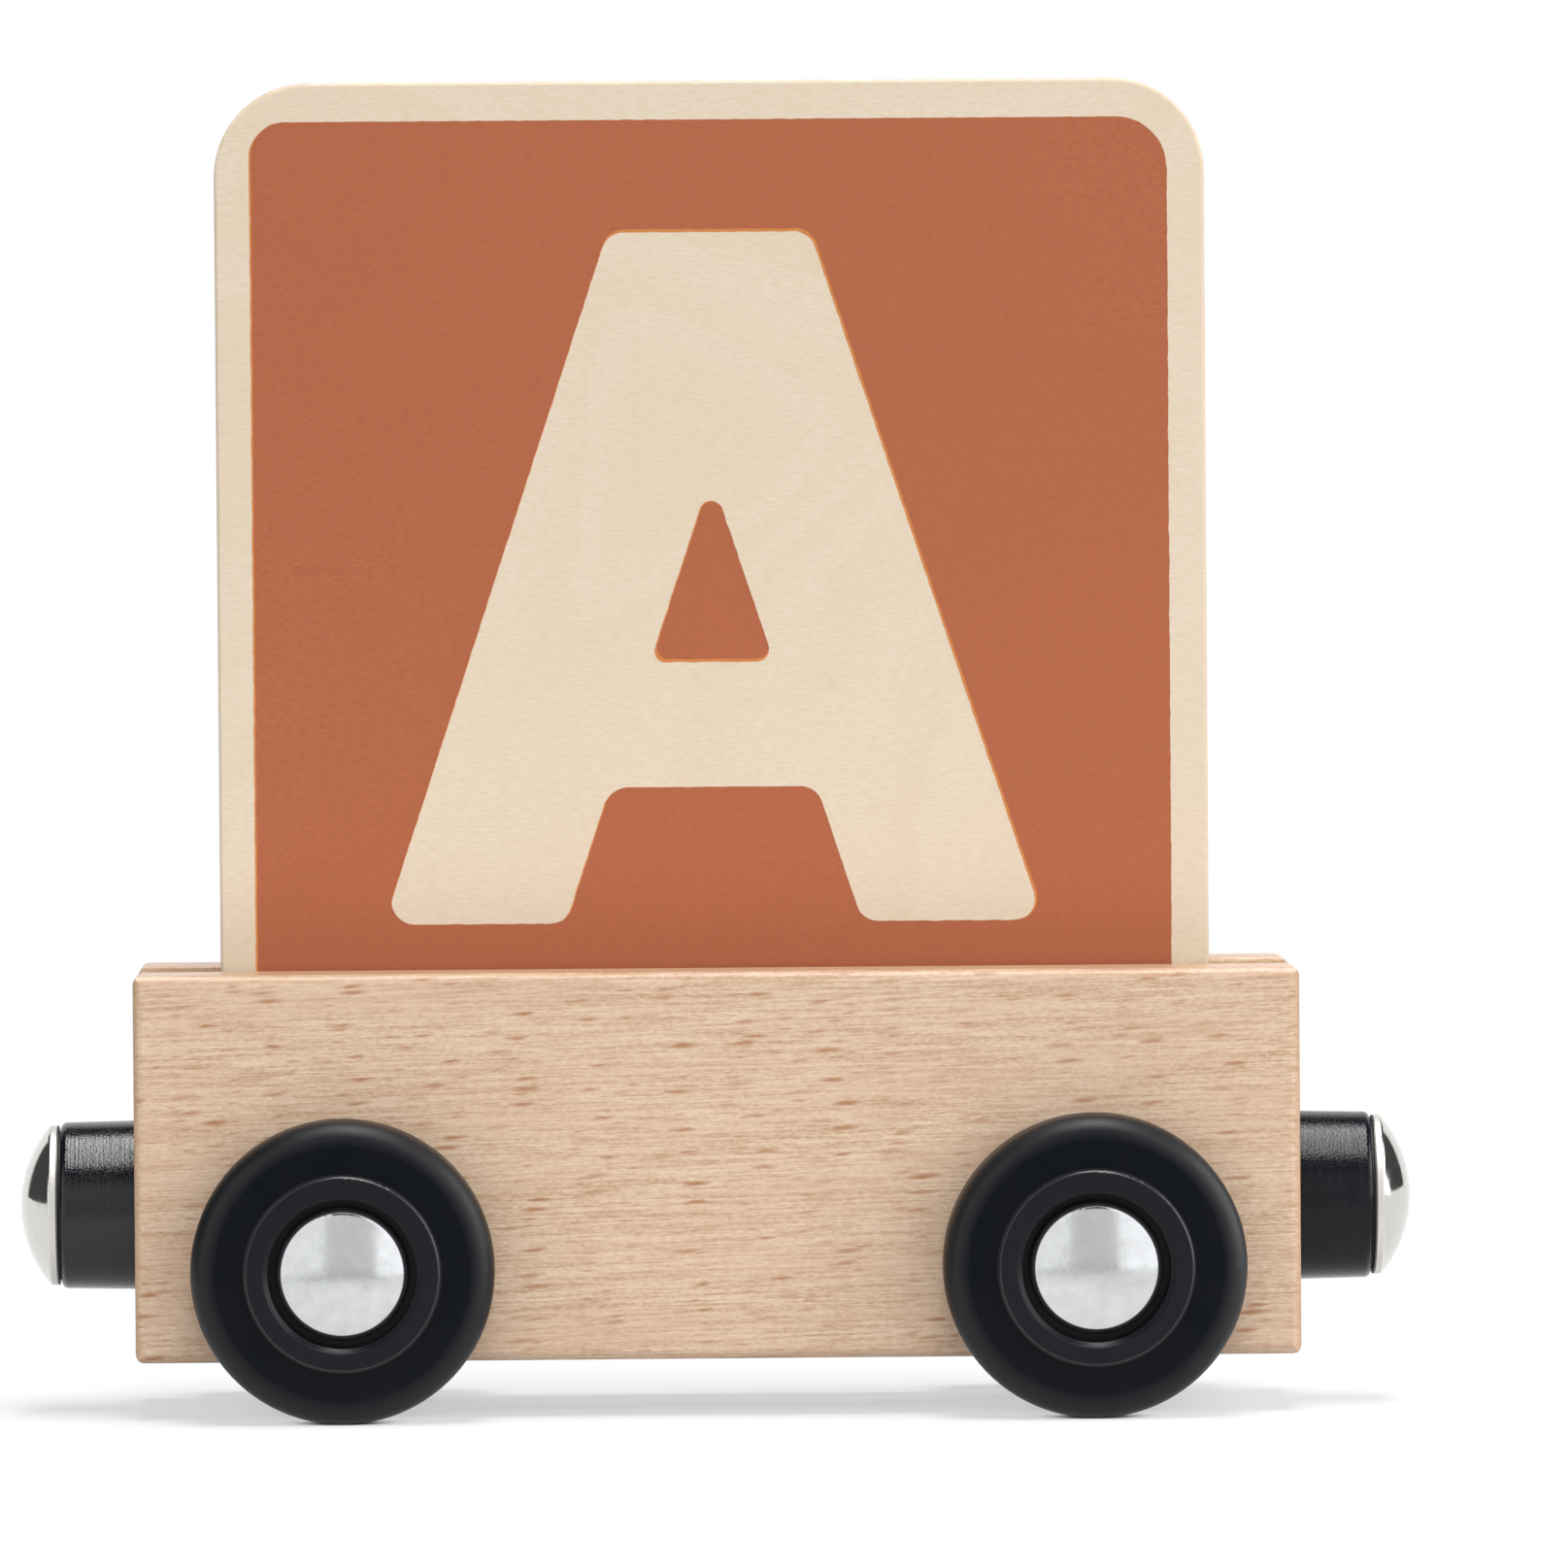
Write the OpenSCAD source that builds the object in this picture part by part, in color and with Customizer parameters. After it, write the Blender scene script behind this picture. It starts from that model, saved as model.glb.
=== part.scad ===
// Letter train car. A grooved beech block carries an upright letter plate. It rolls on two steel axles,
// on which the wheels turn freely behind domed push-on caps, and has a magnetic coupler at each end.
// X runs along the train, Y across it with the near side at -Y, and Z up from the floor under the wheels.

/* [Wagon block] */
// Length of the block along the train
body_l = 77; // [68:0.5:110]
// Width of the block across the train
body_w = 20; // [16:0.5:28]
// Height of the block
body_h = 25.6; // [24:0.2:40]
// Height of the block's underside above the floor
floor_gap = 3.8; // [2:0.1:6]
// Radius of the block's sanded edges
block_edge_r = 0.65; // [0.3:0.05:1.2]

/* [Plate groove] */
// Depth of the groove that runs along the block's top
groove_depth = 9; // [5:0.5:10]
// Radius of the sanded edges along the groove's mouth
groove_edge_r = 0.3; // [0.1:0.05:0.8]
// Glue gap between the groove and each face of the plate
glue_gap = 0.05; // [0.02:0.01:0.2]

/* [Letter plate] */
// Width of the plate along the train
plate_w = 65.6; // [40:0.2:90]
// Full height of the plate, with the part in the groove
plate_h = 67.8; // [40:0.2:100]
// Thickness of the plate
plate_t = 8; // [4:0.5:10]
// Radius of the plate's two top corners
plate_corner_r = 6.2; // [2:0.1:15]
// Radius of the plate's eased edges
plate_edge_r = 0.25; // [0.1:0.05:0.8]

/* [Axles] */
// Distance from each end of the block to its axle
axle_inset = 13.75; // [11:0.25:20]
// Diameter of the axle rod
axle_d = 3; // [2:0.1:4]
// Chamfer on each end of the axle rod
axle_chamfer = 0.4; // [0.1:0.05:0.6]
// Length of the axle rod past the teeth that grip it
axle_end = 0.3; // [0.2:0.05:1]
// Radial play of the axle in the block and of the wheels on the axle
running_play = 0.1; // [0.03:0.01:0.15]

/* [Wheels] */
// Diameter of the tread
wheel_d = 20; // [17:0.5:26]
// Width of the tread, which runs in the groove of a wooden rail
tread_w = 4.5; // [3.5:0.1:5.5]
// Radius of the rounded front shoulder
shoulder_r = 1.5; // [0.5:0.1:2]
// Radius of the tread's back edge
tread_back_r = 0.6; // [0.2:0.1:1]
// Height of the raised hub disc above the wheel's face
hub_raise = 0.5; // [0.2:0.05:1]
// Radial width of the hub disc round the cap's recess
hub_ring = 1.55; // [0.8:0.05:2.5]
// Radius of the hub disc's outer edge
hub_edge_r = 0.2; // [0.05:0.05:0.2]
// Depth of the cap's recess below the hub disc
recess_depth = 2; // [1.5:0.1:2.5]
// Chamfer round the mouth of the recess
recess_chamfer = 0.35; // [0.1:0.05:0.5]
// Thickness of the hub's wall round the recess, seen from behind
hub_wall = 1.2; // [0.8:0.1:1.4]
// Thickness of the rim behind the tread
rim_wall = 2; // [1.2:0.1:2.2]
// Depth of the ring that is cored out of the wheel's back
core_depth = 2; // [0.5:0.1:2.5]
// Diameter of the boss that runs against the block
boss_d = 8; // [5:0.1:9]
// Height of the boss behind the tread
boss_h = 0.5; // [0.2:0.05:1]
// Gap between the boss and the block
side_play = 0.3; // [0.15:0.05:0.6]

/* [Axle caps] */
// Diameter of the domed cap
cap_d = 8.8; // [7.6:0.1:9.4]
// Radius of the cap's dome
cap_dome_r = 14; // [9:0.5:30]
// Radius of the shoulder between the cap's side and its dome
cap_shoulder_r = 0.7; // [0.4:0.05:0.8]
// Thickness of the cap's sheet steel
cap_sheet = 0.35; // [0.2:0.05:0.4]
// Radial width of the lip that is rolled in under the cap's spring
cap_lip = 0.6; // [0.3:0.05:0.9]
// Room between the axle's end and the inside of the dome
cap_room = 0.25; // [0.1:0.05:0.5]
// Radial gap between the cap and the wheel's recess
cap_gap = 0.5; // [0.3:0.05:0.9]
// Gap between the cap and the floor of the wheel's recess
cap_play = 0.2; // [0.1:0.05:0.4]

/* [Cap springs] */
// Thickness of the spring steel
spring_t = 0.25; // [0.15:0.05:0.4]
// Radial width of the spring's flat rim
spring_rim = 1.3; // [0.8:0.05:1.5]
// How far the teeth are dished outwards
spring_dish = 0.4; // [0.2:0.05:0.6]
// Number of teeth that grip the axle
spring_teeth = 6; // [4:1:8]
// Width of the slots between the teeth
spring_slot = 0.5; // [0.3:0.05:0.7]

/* [Coupler barrels] */
// Height of the coupler's axis above the floor
coupler_z = 13.7; // [11:0.1:15]
// Diameter of the barrel where it meets the block
barrel_d = 11.25; // [10.5:0.05:13]
// How much narrower the barrel is at its outer end
barrel_draft = 0.2; // [0:0.05:0.3]
// Length of the barrel outside the block
barrel_l = 5.1; // [4.5:0.1:7]
// Radius of the barrel's outer edge
barrel_edge_r = 0.4; // [0.1:0.05:0.5]
// Diameter of the spigot that sits in the block
spigot_d = 7; // [5:0.1:8]
// Length of the spigot
spigot_l = 4; // [2:0.1:5]
// Gap between the end of the spigot and its bore
spigot_end_gap = 0.2; // [0.1:0.05:0.5]

/* [Coupler magnets] */
// Thickness of the barrel's wall round the magnet, at the barrel's outer end
magnet_wall = 0.55; // [0.5:0.05:2]
// Length of the ring magnet
magnet_l = 3.5; // [2:0.1:4.5]
// How far the magnet stands out of the barrel
magnet_stand = 0.15; // [0.1:0.05:0.4]
// Chamfer on the magnet's edges
magnet_chamfer = 0.1; // [0.1:0.05:0.5]

/* [Coupler nails] */
// Diameter of the nail's domed head
head_d = 10.6; // [9.2:0.1:11]
// Height of the head
head_h = 2.55; // [2.3:0.05:3]
// Radius of the head's dome
head_dome_r = 8.1; // [7.6:0.1:10]
// Radius of the shoulder between the head's rim and its dome
head_shoulder_r = 0.2; // [0.2:0.05:0.6]
// Diameter of the nail's shank
shank_d = 2.4; // [1.6:0.1:3]
// Length of the shank in the wood behind the spigot
nail_bite = 5; // [2:0.1:6]
// Length of the nail's point
nail_point = 1.2; // [0.5:0.1:2]
// Radial gap of the shank in the magnet and in the barrel
shank_gap = 0.1; // [0.05:0.01:0.2]

/* [Fits] */
// Radial gap of the pieces that are pushed tight together
push_gap = 0.01; // [0:0.005:0.03]

/* [Hidden] */
$fn = 96;

left = -1;
right = 1;
near = -1;
far = 1;

beech = "#d8bba0";
birch = "#e4d3ba";
bright_steel = "#c9cbcd";
spring_steel = "#8d9096";
black_plastic = "#26262a";
ferrite = "#3c3b3d";

wheel_r = wheel_d / 2;
axle_x = body_l / 2 - axle_inset;
axle_bore_d = axle_d + 2 * running_play;
body_top = floor_gap + body_h;
groove_w = plate_t + 2 * glue_gap;
groove_floor = body_top - groove_depth;

// Distances from the middle of the car outwards along an axle
boss_face = body_w / 2 + side_play;
tread_back = boss_face + boss_h;
tread_front = tread_back + tread_w;
hub_face = tread_front + hub_raise;
recess_floor = hub_face - recess_depth;
cap_base = recess_floor + cap_play;
axle_tip = cap_base + cap_sheet + spring_t + spring_dish + axle_end;

recess_r = cap_d / 2 + cap_gap;
hub_r = recess_r + hub_ring;
cap_h = axle_tip - cap_base + cap_room + cap_sheet;
cap_bore_r = cap_d / 2 - cap_sheet;

barrel_tip_d = barrel_d - barrel_draft;
magnet_d = barrel_tip_d - 2 * magnet_wall;

// Distances from the block's end outwards along a coupler
magnet_face = barrel_l + magnet_stand;
magnet_base = magnet_face - magnet_l;
spigot_bore_depth = spigot_l + spigot_end_gap;
nail_tip = -spigot_bore_depth - nail_bite;
shank_bore_d = shank_d + 2 * shank_gap;

// Overlap that carries a cut past the face it opens
cut = 1;

// Turns local Z outwards along the axle at one end of the car
module on_axle(end, side) {
    translate([end * axle_x, 0, wheel_r])
        rotate([-90 * side, 0, 0])
            children();
}

// Puts local Z outwards along the coupler, with its zero on the block's end face
module on_coupler(end) {
    translate([end * body_l / 2, 0, coupler_z])
        rotate([0, 90 * end, 0])
            children();
}

// Rectangle from the origin with all four corners rounded
module rounded_rect(size, r) {
    translate([r, 0])
        square([size.x - 2 * r, size.y]);
    translate([0, r])
        square([size.x, size.y - 2 * r]);
    for (x = [r, size.x - r], y = [r, size.y - r])
        translate([x, y])
            circle(r);
}

// Half section of a flat-based dome: a straight rim, a small shoulder and a large dome, all tangent
module dome_section(r, height, dome_r, shoulder_r) {
    dome_z = height - dome_r;
    shoulder_x = r - shoulder_r;
    shoulder_z = dome_z + sqrt(pow(dome_r - shoulder_r, 2) - pow(shoulder_x, 2));
    tangent_x = shoulder_x * dome_r / (dome_r - shoulder_r);
    intersection() {
        square([r, height]);
        union() {
            square([r, shoulder_z]);
            translate([shoulder_x, shoulder_z])
                circle(shoulder_r);
            intersection() {
                translate([0, dome_z])
                    circle(dome_r);
                square([tangent_x, height]);
            }
        }
    }
}

// End section of the block, a U with a groove from the top
module block_section() {
    difference() {
        rounded_rect([body_w, body_h], block_edge_r);
        translate([(body_w - groove_w) / 2, body_h - groove_depth])
            square([groove_w, groove_depth + cut]);
        for (side = [near, far])
            translate([body_w / 2 + side * groove_w / 2, body_h])
                groove_easing(side);
    }
}

// What sanding takes off one top edge of the groove
module groove_easing(side) {
    difference() {
        translate([min(0, side * groove_edge_r), -groove_edge_r])
            square([groove_edge_r, groove_edge_r + cut]);
        translate([side * groove_edge_r, -groove_edge_r])
            circle(groove_edge_r);
    }
}

module wagon_body() {
    color(beech)
        difference() {
            translate([-body_l / 2, -body_w / 2, floor_gap])
                intersection() {
                    rotate([90, 0, 90])
                        linear_extrude(body_l)
                            block_section();
                    translate([0, body_w, 0])
                        rotate([90, 0, 0])
                            linear_extrude(body_w)
                                rounded_rect([body_l, body_h], block_edge_r);
                    linear_extrude(body_h)
                        rounded_rect([body_l, body_w], block_edge_r);
                }
            for (end = [left, right]) {
                on_axle(end, far)
                    cylinder(d = axle_bore_d, h = body_w + 2 * cut, center = true);
                on_coupler(end)
                    coupler_bore();
            }
        }
}

// Bore for the barrel's spigot, with the pilot hole for the nail
module coupler_bore() {
    translate([0, 0, -spigot_bore_depth])
        cylinder(d = spigot_d + 2 * push_gap, h = spigot_bore_depth + cut);
    translate([0, 0, nail_tip])
        cylinder(d = shank_d + 2 * push_gap, h = nail_bite + cut);
}

// Section through the plate's edge: X runs out to the edge, Y across the thickness
module plate_edge_section() {
    translate([0, -plate_t / 2])
        square([plate_corner_r - plate_edge_r, plate_t]);
    translate([0, plate_edge_r - plate_t / 2])
        square([plate_corner_r, plate_t - 2 * plate_edge_r]);
    for (side = [near, far])
        translate([plate_corner_r - plate_edge_r, side * (plate_t / 2 - plate_edge_r)])
            circle(plate_edge_r);
}

module letter_plate() {
    inner_w = plate_w - 2 * plate_corner_r;
    side_h = plate_h - plate_corner_r;
    color(birch)
        translate([0, 0, groove_floor]) {
            translate([-inner_w / 2, -plate_t / 2, 0])
                cube([inner_w, plate_t, side_h]);
            translate([-inner_w / 2, 0, side_h])
                rotate([0, -90, 180])
                    linear_extrude(inner_w)
                        plate_edge_section();
            for (end = [left, right])
                translate([end * inner_w / 2, 0, 0])
                    rotate([0, 0, end == right ? 0 : 180]) {
                        linear_extrude(side_h)
                            plate_edge_section();
                        translate([0, 0, side_h])
                            rotate([90, 0, 0])
                                rotate_extrude(angle = 90)
                                    plate_edge_section();
                    }
        }
}

module axle(end) {
    color(bright_steel)
        on_axle(end, far)
            rotate_extrude()
                polygon([
                    [0, -axle_tip],
                    [axle_d / 2 - axle_chamfer, -axle_tip],
                    [axle_d / 2, -axle_tip + axle_chamfer],
                    [axle_d / 2, axle_tip - axle_chamfer],
                    [axle_d / 2 - axle_chamfer, axle_tip],
                    [0, axle_tip]
                ]);
}

// Half section of the tread and its web, before the hub is cut
module tread_section() {
    translate([0, tread_back])
        square([wheel_r - shoulder_r, tread_w]);
    translate([0, tread_back + tread_back_r])
        square([wheel_r, tread_w - tread_back_r - shoulder_r]);
    translate([0, tread_back])
        square([wheel_r - tread_back_r, tread_w - shoulder_r]);
    translate([wheel_r - shoulder_r, tread_front - shoulder_r])
        circle(shoulder_r);
    translate([wheel_r - tread_back_r, tread_back + tread_back_r])
        circle(tread_back_r);
}

// Half section of the raised hub disc
module hub_section() {
    translate([0, tread_front])
        square([hub_r, hub_raise - hub_edge_r]);
    translate([0, tread_front])
        square([hub_r - hub_edge_r, hub_raise]);
    translate([hub_r - hub_edge_r, hub_face - hub_edge_r])
        circle(hub_edge_r);
}

// Half section of the recess for the cap, with its chamfered mouth
module recess_section() {
    polygon([
        [0, recess_floor],
        [recess_r, recess_floor],
        [recess_r, hub_face - recess_chamfer],
        [recess_r + recess_chamfer, hub_face],
        [recess_r + recess_chamfer, hub_face + cut],
        [0, hub_face + cut]
    ]);
}

module wheel(end, side) {
    core_in_r = recess_r + hub_wall;
    core_out_r = wheel_r - rim_wall;
    color(black_plastic)
        on_axle(end, side)
            difference() {
                rotate_extrude()
                    difference() {
                        union() {
                            tread_section();
                            hub_section();
                            translate([0, boss_face])
                                square([boss_d / 2, boss_h + cut]);
                        }
                        recess_section();
                        translate([core_in_r, tread_back - cut])
                            square([core_out_r - core_in_r, core_depth + cut]);
                    }
                translate([0, 0, boss_face - cut])
                    cylinder(d = axle_bore_d, h = recess_floor - boss_face + 2 * cut);
            }
}

module axle_cap(end, side) {
    color(bright_steel)
        on_axle(end, side)
            translate([0, 0, cap_base])
                rotate_extrude()
                    difference() {
                        dome_section(cap_d / 2, cap_h, cap_dome_r, cap_shoulder_r);
                        cap_hollow_section();
                    }
}

// Half section of the space inside a cap, narrowed by the rolled lip at its mouth
module cap_hollow_section() {
    intersection() {
        dome_section(
            cap_bore_r,
            cap_h - cap_sheet,
            cap_dome_r - cap_sheet,
            cap_shoulder_r - cap_sheet
        );
        translate([0, cap_sheet])
            square([cap_bore_r, cap_h]);
    }
    translate([0, -cut])
        square([cap_bore_r - cap_lip, cap_sheet + 2 * cut]);
}

module cap_spring(end, side) {
    rim_r = cap_bore_r - push_gap;
    flat_r = rim_r - spring_rim;
    grip_r = axle_d / 2 + push_gap;
    color(spring_steel)
        on_axle(end, side)
            translate([0, 0, cap_base + cap_sheet])
                difference() {
                    rotate_extrude()
                        polygon([
                            [rim_r, 0],
                            [rim_r, spring_t],
                            [flat_r, spring_t],
                            [grip_r, spring_t + spring_dish],
                            [grip_r, spring_dish],
                            [flat_r, 0]
                        ]);
                    for (i = [0 : spring_teeth - 1])
                        rotate([0, 0, 360 * i / spring_teeth])
                            translate([0, -spring_slot / 2, -cut])
                                cube([flat_r, spring_slot, spring_t + spring_dish + 2 * cut]);
                }
}

module coupler_barrel(end) {
    tip_r = barrel_tip_d / 2;
    color(black_plastic)
        on_coupler(end)
            difference() {
                rotate_extrude() {
                    polygon([
                        [0, 0],
                        [barrel_d / 2, 0],
                        [tip_r, barrel_l - barrel_edge_r],
                        [0, barrel_l - barrel_edge_r]
                    ]);
                    square([tip_r - barrel_edge_r, barrel_l]);
                    translate([tip_r - barrel_edge_r, barrel_l - barrel_edge_r])
                        circle(barrel_edge_r);
                    translate([0, -spigot_l])
                        square([spigot_d / 2, spigot_l + cut]);
                }
                translate([0, 0, magnet_base])
                    cylinder(d = magnet_d + 2 * push_gap, h = barrel_l);
                translate([0, 0, -spigot_l - cut])
                    cylinder(d = shank_bore_d, h = spigot_l + barrel_l);
            }
}

module coupler_magnet(end) {
    color(ferrite)
        on_coupler(end)
            difference() {
                translate([0, 0, magnet_base])
                    rotate_extrude()
                        polygon([
                            [0, 0],
                            [magnet_d / 2 - magnet_chamfer, 0],
                            [magnet_d / 2, magnet_chamfer],
                            [magnet_d / 2, magnet_l - magnet_chamfer],
                            [magnet_d / 2 - magnet_chamfer, magnet_l],
                            [0, magnet_l]
                        ]);
                translate([0, 0, magnet_base - cut])
                    cylinder(d = shank_bore_d, h = magnet_l + 2 * cut);
            }
}

module coupler_nail(end) {
    color(bright_steel)
        on_coupler(end)
            rotate_extrude() {
                translate([0, magnet_face])
                    dome_section(head_d / 2, head_h, head_dome_r, head_shoulder_r);
                polygon([
                    [0, nail_tip],
                    [shank_d / 2, nail_tip + nail_point],
                    [shank_d / 2, magnet_face + head_h / 2],
                    [0, magnet_face + head_h / 2]
                ]);
            }
}

wagon_body();
letter_plate();
axle(left);  // left_axle
axle(right);  // right_axle
wheel(left, near);  // left_near_wheel
wheel(left, far);  // left_far_wheel
wheel(right, near);  // right_near_wheel
wheel(right, far);  // right_far_wheel
axle_cap(left, near);  // left_near_axle_cap
axle_cap(left, far);  // left_far_axle_cap
axle_cap(right, near);  // right_near_axle_cap
axle_cap(right, far);  // right_far_axle_cap
cap_spring(left, near);  // left_near_cap_spring
cap_spring(left, far);  // left_far_cap_spring
cap_spring(right, near);  // right_near_cap_spring
cap_spring(right, far);  // right_far_cap_spring
coupler_barrel(left);  // left_coupler_barrel
coupler_barrel(right);  // right_coupler_barrel
coupler_magnet(left);  // left_coupler_magnet
coupler_magnet(right);  // right_coupler_magnet
coupler_nail(left);  // left_coupler_nail
coupler_nail(right);  // right_coupler_nail
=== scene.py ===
"""Gives the letter train car its wood, print, plastic and steel finishes and sets it in a plain studio."""

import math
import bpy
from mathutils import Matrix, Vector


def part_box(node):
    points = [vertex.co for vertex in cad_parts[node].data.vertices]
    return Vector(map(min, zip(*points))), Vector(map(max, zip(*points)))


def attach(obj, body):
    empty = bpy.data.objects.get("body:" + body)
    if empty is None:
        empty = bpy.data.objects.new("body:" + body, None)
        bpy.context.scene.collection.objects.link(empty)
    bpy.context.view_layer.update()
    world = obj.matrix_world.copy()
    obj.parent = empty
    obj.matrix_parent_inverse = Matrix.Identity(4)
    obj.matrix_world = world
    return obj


bl_info = {
    "name": "Letter Train Car",
    "version": (1, 0, 0),
    "blender": (4, 5, 0),
    "location": "View3D > Sidebar > Letter Car",
    "description": "Finishes for a wooden letter train car, and a plain studio round it",
    "category": "Object",
}

import bpy
from bpy.props import FloatProperty, FloatVectorProperty, PointerProperty
from mathutils import Euler, Matrix, Vector, noise

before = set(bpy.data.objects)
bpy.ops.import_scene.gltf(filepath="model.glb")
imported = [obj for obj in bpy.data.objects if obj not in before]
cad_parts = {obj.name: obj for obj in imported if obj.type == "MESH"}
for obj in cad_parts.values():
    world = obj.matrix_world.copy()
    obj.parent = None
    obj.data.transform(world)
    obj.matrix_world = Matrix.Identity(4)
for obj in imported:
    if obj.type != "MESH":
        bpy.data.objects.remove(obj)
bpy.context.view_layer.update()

MM = 0.001
ENDS = ("left", "right")
CORNERS = [f"{end}_{side}" for end in ENDS for side in ("near", "far")]
# Sockets of a colour mix: the two colours and the result
FIRST, SECOND = 6, 7
COLOUR_MIX = {"out": 2, "data_type": "RGBA"}
# The same of a vector mix
FIRST_VECTOR, SECOND_VECTOR = 4, 5
VECTOR_MIX = {"out": 1, "data_type": "VECTOR"}
# Where the floor ends, in metres from the car
FLOOR_REACH = 3.0
# Place, aim, width and height of each lamp in metres, and the setting that holds its brightness
LAMPS = {
    "top_softbox": ((0.035, -0.1, 0.95), (0.035, -0.1, 0), 0.3, 0.96, "top_level"),
    "right_softbox": ((0.85, -0.07, 0.45), (0, 0, 0.45), 0.75, 0.9, "right_level"),
    "right_reflector": ((0.56, -0.71, 0.5), (0, 0, 0.5), 0.75, 1.16, "reflector_level"),
    "front_wall": ((0.03, -1.1, 0.36), (0.03, 0, 0.36), 0.55, 0.76, "front_level"),
    "low_card": ((0.03, -1.1, -0.1), (0.03, 0, -0.1), 0.55, 0.16, "low_level"),
    "left_fill": ((-0.757, -0.798, 0.55), (0, 0, 0.55), 1.35, 1.3, "fill_level"),
}


def linear(code):
    """Linear RGBA of an sRGB hex colour such as #D8BBA0."""
    parts = [int(code[i:i + 2], 16) / 255 for i in (1, 3, 5)]
    return [c / 12.92 if c <= 0.04045 else ((c + 0.055) / 1.055) ** 2.4 for c in parts] + [1.0]


def tint(name, description, code):
    """Colour property with an sRGB hex default."""
    return FloatVectorProperty(
        name=name, description=description, size=4, subtype="COLOR", min=0, max=1, default=linear(code)
    )


def length(name, description, mm):
    """Length property with a default in millimetres."""
    return FloatProperty(
        name=name, description=description, subtype="DISTANCE", unit="LENGTH", default=mm * MM, precision=5
    )


def angle(name, description, degrees):
    """Angle property with a default in degrees."""
    return FloatProperty(name=name, description=description, subtype="ANGLE", default=math.radians(degrees))


def share(name, description, default):
    """Plain number from 0 to 1."""
    return FloatProperty(
        name=name, description=description, subtype="FACTOR", min=0, max=1, default=default
    )


def level(name, description, default):
    """Brightness property, where 1 is as bright as white paper."""
    return FloatProperty(name=name, description=description, min=0, default=default)


class BlockSettings(bpy.types.PropertyGroup):
    """Beech of the wagon block."""

    pale: tint("Pale fibres", "Beech between its darker fibre lines", "#EDD5BA")
    middle: tint("Middle tone", "Usual colour of the beech", "#D8BA9D")
    dark: tint("Dark fibres", "Darker fibre lines along the grain", "#B88C64")
    warm: tint("Warm patches", "Pinkish patches in the beech", "#DAB79B")
    fleck: tint("Ray flecks", "Ends of the wood rays", "#B07A50")
    end_grain: tint("End grain", "Beech where the fibres are cut across", "#BD976F")
    # Edge tint: painted shade on the edges that turn up or to the right, where the lamps light them most
    edge: tint("Edge", "Tint over the rounded edges", "#E4DCD4")
    fibre_gap: length("Fibre spacing", "Distance between the finest fibre lines", 0.14)
    fleck_length: length("Fleck length", "Length of a large ray fleck along the grain", 2.7)
    fleck_width: length("Fleck width", "Width of a large ray fleck across the grain", 0.46)
    fleck_lean: angle("Fleck lean", "Rise of the flecks over the grain", 2.5)
    ring_width: length("Ring width", "Thickness of one year's growth", 2.4)
    slope: angle("Grain slope", "Rise of the grain towards the right end", 1.4)
    roughness: share("Roughness", "Gloss of the sanded wood", 0.52)
    wax: share("Wax", "Cover of the wax, which shows as a pale bloom along the edges", 0.45)
    wax_roughness: share("Wax roughness", "Gloss of the wax", 0.22)


class PlateSettings(bpy.types.PropertyGroup):
    """Birch plywood of the letter plate."""

    pale: tint("Pale veneer", "Birch face veneer", "#ECDBC4")
    shade: tint("Veneer grain", "Darker grain of the veneer", "#E5D2B8")
    late: tint("Late wood", "Yellowish late wood at the growth rings", "#DDC9A8")
    cross_ply: tint("Cross ply", "Cut ends of the cross plies along the edges", "#B99C76")
    # Edge tint: painted shade on the edges that turn up or to the right, where the lamps light them most
    edge: tint("Edge", "Tint over the rounded edges", "#E2DAD2")
    foot: tint("Foot", "Tint of the block's shade on the plate's foot", "#E6E9E8")
    grain_gap: length("Grain spacing", "Distance between the veneer's grain lines", 0.17)
    ply: length("Ply", "Thickness of one ply", 1.6)
    roughness: share("Roughness", "Gloss of the sanded veneer", 0.5)
    varnish: share("Varnish", "Cover of the thin clear varnish", 0.3)
    varnish_roughness: share("Varnish roughness", "Gloss of the varnish", 0.3)


class PrintSettings(bpy.types.PropertyGroup):
    """Screen print on both faces of the letter plate."""

    ink: tint("Terracotta", "Terracotta printing ink", "#B7643F")
    thin_ink: tint("Thin ink", "Ink where it lies thinner on the grain", "#CA7A54")
    thick_ink: tint("Thick ink", "Ink where it lies thicker", "#A65B35")
    ground: tint("Ground", "First pass of orange ink, which shows as a fringe", "#DB8A3F")
    border: length("Border", "Bare wood beside the print", 2.47)
    top_border: length("Top border", "Bare wood over the print", 2.56)
    left_corner: length("Left corner", "Radius of the print's top left corner", 2.2)
    right_corner: length("Right corner", "Radius of the print's top right corner", 3.4)
    letter_base: length("Letter base", "Height of the letter's foot above the block", 3.0)
    letter_height: length("Letter height", "Height of the letter", 46)
    letter_width: length("Letter width", "Width of the letter at its foot", 44)
    stroke: length("Stroke", "Width of the letter's legs, measured level", 12.2)
    apex: length("Apex", "Width of the letter's flat top", 13.5)
    bar_base: length("Bar base", "Height of the crossbar's lower edge", 9.0)
    bar_top: length("Bar top", "Height of the crossbar's upper edge", 17.5)
    letter_corner: length("Letter corners", "Radius of the letter's corners", 1.5)
    fringe: length("Fringe", "How far the orange ground reaches past the terracotta", 0.06)
    slip: length("Slip", "How far the orange ground has slipped down the plate", 0.15)
    ragged: length("Ragged edge", "How far the ink's edge wanders", 0.06)
    film: length("Ink film", "Thickness of each pass of ink", 0.008)
    roughness: share("Roughness", "Gloss of the dry ink", 0.56)


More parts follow.
